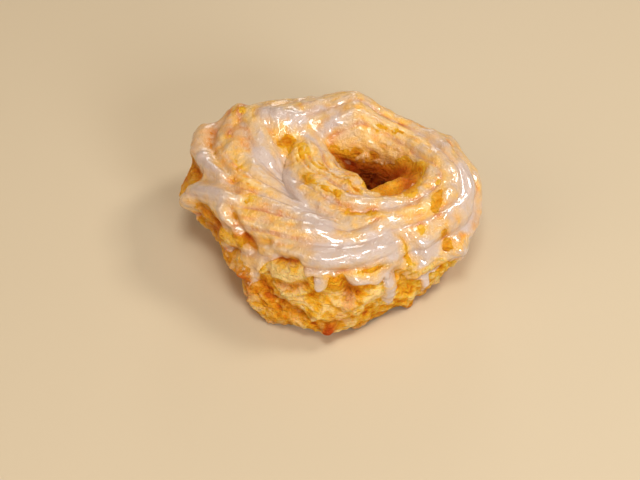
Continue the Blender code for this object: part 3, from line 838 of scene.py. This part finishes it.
# Places with less glaze or none, written the same way with a negative thickness.
MISSING = [
    ("left gap", -2.0, 2.4, [(170.5, 20), (175.5, 26), (180, 30)]),
    ("crust below that gap", -2.0, 3.0, [(170, 8), (178, 12)]),
    ("gap below the left tip", -2.0, 2.8, [(190, 20), (194, 22), (200, 21), (202, 16), (195, 6)]),
    ("crusty patch at the lower left", -1.3, 2.8, [(206.5, 21), (212, 23), (211, 15), (210, 7)]),
    ("lower left hollow", -2.0, 1.7, [(214, 30), (219, 28)]),
    ("lower left side", -0.3, 4.5, [(204, 2), (214, 6), (221, 0)]),
    ("knob at the lower left", -0.35, 2.6, [(219, 2), (222, -8), (222, -15)]),
    ("crease behind the left lobe", -0.8, 1.3,
     [(155, 43), (162, 42), (169.5, 44), (177, 49), (184.5, 55), (191.5, 57)]),
    ("crease below the left lobe", -0.4, 1.3, [(184, 37), (190, 47), (198, 53)]),
    ("crease above the lower stripe", -0.9, 1.3,
     [(203, 42), (207.5, 38.5), (213, 33), (218, 34), (224, 40)]),
    ("tongue, start", -0.5, 5.0, [(158, 117), (171, 124), (190, 126)]),
    ("tongue, crest", -0.50, 3.5, [(199, 114), (218, 112), (237, 111)]),
    ("tongue, by the hole", -0.65, 4.0, [(135, 140), (125, 155), (117, 171)]),
    ("notch where the tongue starts", -1.2, 1.6, [(160, 101), (157.5, 105), (157, 108)]),
    ("left of the tongue", -0.45, 2.4, [(176, 117), (195, 112), (214, 103), (232, 93)]),
    ("left strip", -0.5, 2.0, [(156, 58), (166, 58), (171, 51)]),
    ("back left crest", -0.4, 2.4, [(152, 45), (149, 56)]),
    ("left patch", -0.5, 2.4, [(176, 63), (189, 61), (198, 65), (206, 61)]),
    ("left patch above", -0.3, 2.5, [(168, 74), (184, 70)]),
    ("back patch", -0.35, 3.0, [(155, 89), (154, 106), (161, 100)]),
    ("right back crest", -0.5, 2.6, [(92, 112), (72, 104), (47, 100)]),
    ("first brown spot in the hole", -0.8, 1.3, [(109, 138), (107, 138)]),
    ("second brown spot in the hole", -0.8, 1.3, [(79, 132), (77, 133)]),
    ("spot on the far edge", -0.6, 1.5, [(42, 79), (36, 78)]),
    ("back crest", -0.35, 1.8, [(108, 99), (77, 89), (52, 87)]),
    ("right stripe", -0.9, 2.5, [(328, 84), (318, 71), (313, 65)]),
    ("right stripe below", -1.0, 1.9, [(312, 40), (313, 28), (311, 19)]),
    ("right spot", -0.8, 1.7, [(299, 56), (298, 49)]),
    ("right crease", -0.4, 1.4, [(22, 98), (7, 86), (355, 74)]),
    ("right crease below", -0.4, 1.4, [(349, 92), (342, 78)]),
    ("right spot by the hole", -0.4, 1.9, [(309, 91), (304, 75)]),
    # The hem is painted shade under the roll of the front band: less glaze there lets the gold show.
    ("hem of the front band", -0.7, 1.5, [(256, 34), (260.5, 35), (265, 34.5), (270, 33.5), (275.5, 32)]),
    ("upper groove of the tongue", -0.4, 1.0, [(183, 131), (228.5, 128), (257, 119.5)]),
    ("lower groove of the tongue", -0.2, 1.0, [(197.5, 110.5), (230, 111.5), (252.5, 108)]),
    ("groove below the hole", -0.3, 1.5, [(241.5, 100), (260.5, 96), (279.5, 87.5)]),
    ("yellow streak", -0.75, 1.5, [(284.5, 56), (286.5, 43), (288, 28)]),
    ("crease by the hole", -0.55, 1.6, [(251, 97), (270, 90)]),
    ("rim at the right back of the hole", -0.7, 3.0, [(17, 132), (2, 122), (337, 113)]),
    ("face of that lump", -0.9, 2.8, [(288, 114), (293, 106), (304, 108), (318, 112)]),
    ("lump on the right of the hole", -0.8, 4.5, [(286, 122), (325, 126), (350, 128)]),
    ("corner of the hole", -0.8, 3.0, [(340, 116), (8, 124)]),
    ("rim right of the hole", -0.7, 2.4, [(305, 95), (318, 99), (344, 105), (356, 106)]),
    ("front crease", -0.4, 1.4, [(255, 76), (263, 61)]),
    ("right front crease", -0.3, 1.4, [(292, 76), (300, 69)]),
    ("lower left crest", -0.35, 2.0, [(179, 51), (188, 52), (198, 56), (205, 57)]),
    ("lower left corner", -0.4, 2.2, [(204, 51), (214, 46)]),
]


def glaze_height(points, shares, form, grain, from_outer, from_inner):
    """Height over the plain skin: max(form + film, a flatter level), rounded off at the edges.

    The film and the level are both raised by the pools and lowered by the missing places. The film
    is patchy and streaky, and thinner in the nozzle's grooves. Fine ripples run along the strands,
    three to a nozzle ridge, and crumbs of crust stand in the film where it is thin. Beyond the edges
    the sheet dives into the crust: in a small bead outside, and slowly in the hole.
    """
    extra = placed(points, POOLS) + placed(points, MISSING)
    patchy = 0.10 * lumpy(points, 6 * MM, 21) + 0.12 * lumpy(points, 2.6 * MM, 22)
    streaky = 0.20 * flow_streaks(shares, 64, 22) + 0.12 * flow_streaks(shares, 128, 23)
    thin = soft_step(-extra, -0.3 * MM, 0.3 * MM)
    grooves = 0.35 * thin * groove_lines(points, shares)
    uneven = MM * (patchy + streaky - grooves)
    film = form + GLAZE_FILM + uneven + extra + 0.6 * thin * grain
    level = 0.5 * form + 0.7 * extra
    height = soft_max(film, np.minimum(level, film + 1.1 * MM), 0.5 * MM)
    sway = 2.5 * lumpy(points, 9 * MM, 23)
    ripples = 0
    for share, turn, angle in shares:
        wave = np.radians(unwound(turn, angle) * 3 * NOZZLE_TEETH) + sway
        ripples = ripples + share * np.cos(wave)
    height = height + 0.06 * MM * ripples * soft_step(lumpy(points, 11 * MM, 24), -0.5, 0.4)
    grains = 0.20 * np.abs(lumpy(points, 1.7 * MM, 26)) + 0.14 * np.abs(lumpy(points, 1.1 * MM, 27))
    height = height + MM * grains * soft_step(0.5 * MM - extra, 0, 0.7 * MM) * (1 - calm(points))
    outer_reach = np.clip((from_outer + 0.4 * MM) / (1.4 * MM), 0, 1)
    inner_reach = np.clip((from_inner + 5 * MM) / (10 * MM), 0, 1)
    rim = np.sqrt(1 - (1 - outer_reach) ** 2) * np.sqrt(1 - (1 - inner_reach) ** 2)
    buried = form - GLAZE_DIVE
    return buried + (height - GLAZE_SINK - buried) * rim


# %% Glaze mesh
GLAZE_RING = 470
GLAZE_ACROSS = 182
GLAZE_BACK = 28
GLAZE_UNDER = 2.3 * MM


def with_back(value):
    """A value on the sheet's upper side, with the same value along its under side."""
    return np.concatenate([value, value[:, back]], axis=1)


ring = even_bearings(GLAZE_RING)
outer_edge, inner_edge = edge_angles(ring)
start = room_beyond(ring, outer_edge, -1)
end = room_beyond(ring, inner_edge, 1)
across = even_angles(ring, start, end, GLAZE_ACROSS, False)
plain, shares = plain_skin(ring[:, None], across)
normals = skin_normals(ring[:, None], across)
from_outer, from_inner = edge_distances(ring[:, None], across)
form = dough_form(plain, shares)
grain = crust_grain(plain)
height = glaze_height(plain, shares, form, grain, from_outer, from_inner)
thickness = height - (form + grain - CRUST_SINK)
outside = plain + normals * height[..., None]

# The under side runs back from the inner edge to the outer one, inside the crust.
back = np.linspace(GLAZE_ACROSS - 1, 0, GLAZE_BACK + 2)[1:-1].round().astype(int)
inside = (plain + normals * (form - GLAZE_UNDER)[..., None])[:, back]
sheet = np.concatenate([outside, inside], axis=1)
film = np.concatenate([thickness, np.zeros_like(thickness[:, back])], axis=1) / MM
# Painted shade: the nozzle's grooves stay darker under the film, while streaks and noise vary the tone.
groove = np.clip(-nozzle_ridges(plain, shares) / (0.9 * MM), 0, 1)
groove = 0.35 * groove + 0.45 * groove_lines(plain, shares)
raised = 0.68 - groove + 0.45 * flow_streaks(shares, 64, 28) + 0.3 * lumpy(plain, 3.5 * MM, 29)
# As on the crust: painted shade in the hollows, and browning with painted shade.
values = {"toast": toast(plain), "hollow": hollow_shade(form), "crest": raised, "calm": calm(plain)}
values = {name: with_back(value) for name, value in values.items()}
glaze = closed_mesh("glaze", sheet, {"film": film, **values})
thickness = thickness / MM
print("glaze thickness, mm: median", np.median(thickness).round(2), "most", thickness.max().round(2))
print("share of the sheet that shows:", (thickness > 0).mean().round(2))

# %% [markdown]
# Shader sums written as Python
#
# Node trees could be wired one link at a time. The small class below wraps a socket instead, so
# that sums such as 1 - mask or a * b + c add their Math nodes by themselves, and one method adds
# every other kind of node.


# %% A socket that can be reckoned with
class Wire:
    """One output socket in a node tree, with operators that add Math nodes."""

    def __init__(self, tree, socket=None):
        self.tree = tree
        self.socket = socket

    def node(self, kind, settings=None, sockets=None, output=0):
        """Adds a node: its settings first, then a value or a link for each socket named."""
        made = self.tree.nodes.new(kind)
        for name, value in (settings or {}).items():
            if name == "stops":
                ramp = made.color_ramp.elements
                while len(ramp) < len(value):
                    ramp.new(1.0)
                for element, (place, colour) in zip(ramp, value):
                    element.position = place
                    element.color = colour
            else:
                setattr(made, name, value)
        for name, value in (sockets or {}).items():
            if isinstance(value, Wire):
                self.tree.links.new(value.socket, made.inputs[name])
            else:
                made.inputs[name].default_value = value
        return Wire(self.tree, made.outputs[output])

    def reckon(self, operation, a, b=0.0, clamp=False):
        """One Math node: the operation on a and b, kept between 0 and 1 if clamp says so."""
        return self.node("ShaderNodeMath", {"operation": operation, "use_clamp": clamp}, {0: a, 1: b})

    def __add__(self, other):
        return self.reckon("ADD", self, other)

    __radd__ = __add__

    def __sub__(self, other):
        return self.reckon("SUBTRACT", self, other)

    def __rsub__(self, other):
        return self.reckon("SUBTRACT", other, self)

    def __mul__(self, other):
        return self.reckon("MULTIPLY", self, other)

    __rmul__ = __mul__

    def clamped(self):
        """The same value, kept between 0 and 1."""
        return self.reckon("ADD", self, 0.0, clamp=True)

    def between(self, low, high):
        """0 at low and 1 at high, and flat outside them."""
        return self.node("ShaderNodeMapRange", {"clamp": True}, {0: self, 1: low, 2: high})

    def attribute(self, name):
        """The number that the mesh keeps at each point under this name."""
        return self.node("ShaderNodeAttribute", {"attribute_name": name}, output=2)

    def noise(self, per_metre, detail=2.0, place=None):
        """Soft random values in the piece's own coordinates, with this many waves to the metre."""
        place = place or self.node("ShaderNodeTexCoord", output=3)
        sockets = {"Vector": place, "Scale": per_metre, "Detail": detail}
        return self.node("ShaderNodeTexNoise", sockets=sockets)

    def blend(self, share, a, b):
        """Colour a where share is 0 and colour b where it is 1."""
        settings = {"data_type": "RGBA", "clamp_factor": True}
        return self.node("ShaderNodeMix", settings, {0: share, 6: a, 7: b}, output=2)

    def bump(self, height, strength, distance):
        """A normal tilted as if the surface stood out by height x distance in metres."""
        sockets = {"Height": height, "Strength": strength, "Distance": distance}
        return self.node("ShaderNodeBump", sockets=sockets)


def finish_of(name):
    """A new material with a Principled shader: gives the material, the shader and a loose wire."""
    material = bpy.data.materials.new(name)
    material.use_nodes = True
    return material, material.node_tree.nodes["Principled BSDF"], Wire(material.node_tree)


def feed(shader, socket, value):
    """Links a wire to a socket of the shader, or sets the socket to a plain value."""
    if isinstance(value, Wire):
        value.tree.links.new(value.socket, shader.inputs[socket])
    else:
        shader.inputs[socket].default_value = value


# %% [markdown]
# The colour of fried dough
#
# Fried choux is not one brown. Thin places stay pale gold, most of the crust is amber, and some spots
# fried brown. Hollows, gaps, slits and the hole get painted shade, from orange to dark brown. An image
# of a crust would need fitting to the folds. Instead, the height of the mesh's own flakes and three
# noises mix the golds, and its hollow and brown values add the browns and the painted shade.

# %% Crust finish
CREAM = (1.0, 0.64, 0.23, 1)
PALE_GOLD = (0.98, 0.52, 0.06, 1)
GOLD = (0.93, 0.42, 0.010, 1)
AMBER = (0.84, 0.29, 0.004, 1)
# The two browns also colour the painted shade in hollows, gaps, slits and the hole.
ORANGE_BROWN = (0.60, 0.125, 0.002, 1)
DARK_BROWN = (0.46, 0.050, 0.001, 1)


def flattened(wire):
    """The piece's own coordinates with height drawn out 2.5 times, so that noise lies in streaks."""
    sockets = {"Vector": wire.node("ShaderNodeTexCoord", output=3), "Scale": (1, 1, 2.5)}
    return wire.node("ShaderNodeMapping", {}, sockets)


def crust_colour_and_shade(wire, contrast):
    """Brown to pale gold by the flakes' height and three noises, then painted shade and browning on top.
    """
    broad = (wire.noise(110.0, 2.0) - 0.5) * 0.9
    streaky = wire.noise(330.0, 4.0, flattened(wire)) - 0.5
    fine = (wire.noise(800.0, 3.0) - 0.5) * 0.5
    uneven = (broad + streaky + fine) * contrast * (1.0 - wire.attribute("calm") * 0.8)
    tone = (wire.attribute("crest") + uneven).clamped()
    stops = [(0.0, ORANGE_BROWN), (0.25, AMBER), (0.5, GOLD), (0.75, PALE_GOLD), (1.0, CREAM)]
    colour = wire.node("ShaderNodeValToRGB", {"stops": stops}, {0: tone})
    # Painted shade in the hollows and gaps.
    colour = wire.blend((wire.attribute("hollow") * 0.85).clamped(), colour, ORANGE_BROWN)
    # Browning, with painted shade in gaps, slits and the hole; darkest in the hole.
    brown_and_shade = wire.attribute("toast")
    colour = wire.blend((brown_and_shade * 0.9).clamped(), colour, ORANGE_BROWN)
    return wire.blend(brown_and_shade.between(0.75, 1.3), colour, DARK_BROWN)


crust_finish, shader, wire = finish_of("fried crust")
speckle = wire.noise(1500.0, 3.0)
specks = speckle.between(0.58, 0.75) * 0.25
feed(shader, "Base Color", wire.blend(specks, crust_colour_and_shade(wire, 1.0), ORANGE_BROWN))
feed(shader, "Roughness", wire.noise(700.0).between(0.2, 0.9) * 0.3 + 0.36)
torn_layers = 1.0 - wire.noise(330.0, 4.0, flattened(wire)).between(0.42, 0.58)
pores = wire.noise(900.0, 4.0) + wire.noise(2600.0, 2.0) * 0.4
feed(shader, "Normal", wire.bump(torn_layers * 0.6 + pores * 1.2, 1.0, 0.0011))
feed(shader, "Specular IOR Level", 0.18)
feed(shader, "Subsurface Weight", 0.25)
feed(shader, "Subsurface Radius", (1.0, 0.4, 0.1))
feed(shader, "Subsurface Scale", 0.0035)
crust.data.materials.append(crust_finish)
print("crust finish:", len(crust_finish.node_tree.nodes), "nodes")

# %% [markdown]
# The look of thin sugar glaze
#
# Glaze lets light through where it is thin and turns milky where it pools. Real transparency would
# be slow and would not survive an export, so the clearness is painted: the fried colour underneath
# fades into milk as the film gets thicker. Under the film the nozzle's grooves get painted shade, and
# streaks run along them. The gloss is a clear coat, strongest on the pools, and fine crumbs under
# it break the light into sparks.

# %% Glaze finish
MILK = (0.61, 0.47, 0.41, 1)
THIN_MILK = (0.72, 0.45, 0.20, 1)

glaze_finish, shader, wire = finish_of("sugar glaze")
mottled = (wire.noise(250.0, 4.0) - 0.5) * 1.6 + (wire.noise(110.0, 2.0) - 0.5) * 0.8
film = wire.attribute("film") + mottled * (1.0 - wire.attribute("calm"))
thin = film.between(-0.10, 0.50)
thick = film.between(0.40, 1.40)
colour = wire.blend(thin * 0.62 + 0.12, crust_colour_and_shade(wire, 0.4), THIN_MILK)
colour = wire.blend(thick * 0.9, colour, MILK)
feed(shader, "Base Color", colour)
feed(shader, "Roughness", 0.19 - thin * 0.05 + wire.noise(600.0).between(0.45, 0.9) * 0.12)
feed(shader, "Specular IOR Level", 0.8)
crumbs = wire.noise(600.0, 3.0) * 0.65 + wire.noise(1300.0, 3.0) * 0.75 + wire.noise(2500.0, 2.0) * 0.45
crumbs = crumbs * (1.0 - thick * 0.4)
feed(shader, "Normal", wire.bump(crumbs, 0.7, 0.0011))
feed(shader, "Subsurface Weight", 0.2)
feed(shader, "Subsurface Radius", (0.9, 0.6, 0.35))
feed(shader, "Subsurface Scale", 0.0025)
feed(shader, "Coat Weight", thin * 0.25 + thick * 0.45 + 0.2)
feed(shader, "Coat IOR", 1.85)
feed(shader, "Coat Roughness", 0.1)
glaze.data.materials.append(glaze_finish)
print("glaze finish:", len(glaze_finish.node_tree.nodes), "nodes")

# %% [markdown]
# Floor and light
#
# A plain pale floor lets the shadow show where the cruller rests. The picture's light comes from
# the right, and window light from the front lies in white streaks on the glaze. One lamp would
# leave the left side black, so there are five: a key from the right, two windows, a large warm
# fill on the left, and one overhead.

# %% Floor
bpy.ops.mesh.primitive_plane_add(size=3.0, location=(0, 0, -0.0002))
floor = bpy.context.object
floor.name = "floor"
floor_finish, shader, wire = finish_of("pale floor")
feed(shader, "Base Color", (0.63, 0.51, 0.345, 1))
feed(shader, "Roughness", 0.6)
floor.data.materials.append(floor_finish)


# %% Lamps
def lamp(name, place, aim, size, watts, colour):
    """A square lamp of that size at place, facing aim."""
    light = bpy.data.lights.new(name, "AREA")
    light.size = size
    light.energy = watts
    light.color = colour
    made = bpy.data.objects.new(name, light)
    made.location = place
    made.rotation_euler = (Vector(aim) - Vector(place)).to_track_quat("-Z", "Y").to_euler()
    bpy.context.scene.collection.objects.link(made)


middle = (0.0, 0.0, 0.02)
lamp("key", (0.65, 0.15, 0.80), middle, 0.24, 3.9, (1.0, 0.97, 0.92))
lamp("front window", (0.50, -0.85, 0.42), middle, 0.32, 6.3, (0.88, 0.94, 1.0))
lamp("back window", (0.10, 1.05, 0.36), middle, 0.30, 1.1, (1.0, 0.98, 0.95))
lamp("left fill", (-0.80, -0.35, 0.60), middle, 0.60, 2.6, (1.0, 0.87, 0.74))
lamp("overhead", (0.0, -0.30, 1.0), middle, 0.30, 4.2, (1.0, 0.98, 0.95))

world = bpy.data.worlds.new("studio")
world.use_nodes = True
world.node_tree.nodes["Background"].inputs["Color"].default_value = (1.0, 0.82, 0.62, 1)
world.node_tree.nodes["Background"].inputs["Strength"].default_value = 0.21
bpy.context.scene.world = world
bpy.context.scene.view_settings.view_transform = "Standard"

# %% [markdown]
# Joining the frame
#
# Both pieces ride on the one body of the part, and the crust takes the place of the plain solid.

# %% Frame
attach(crust, "root")
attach(glaze, "root")
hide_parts("cruller")
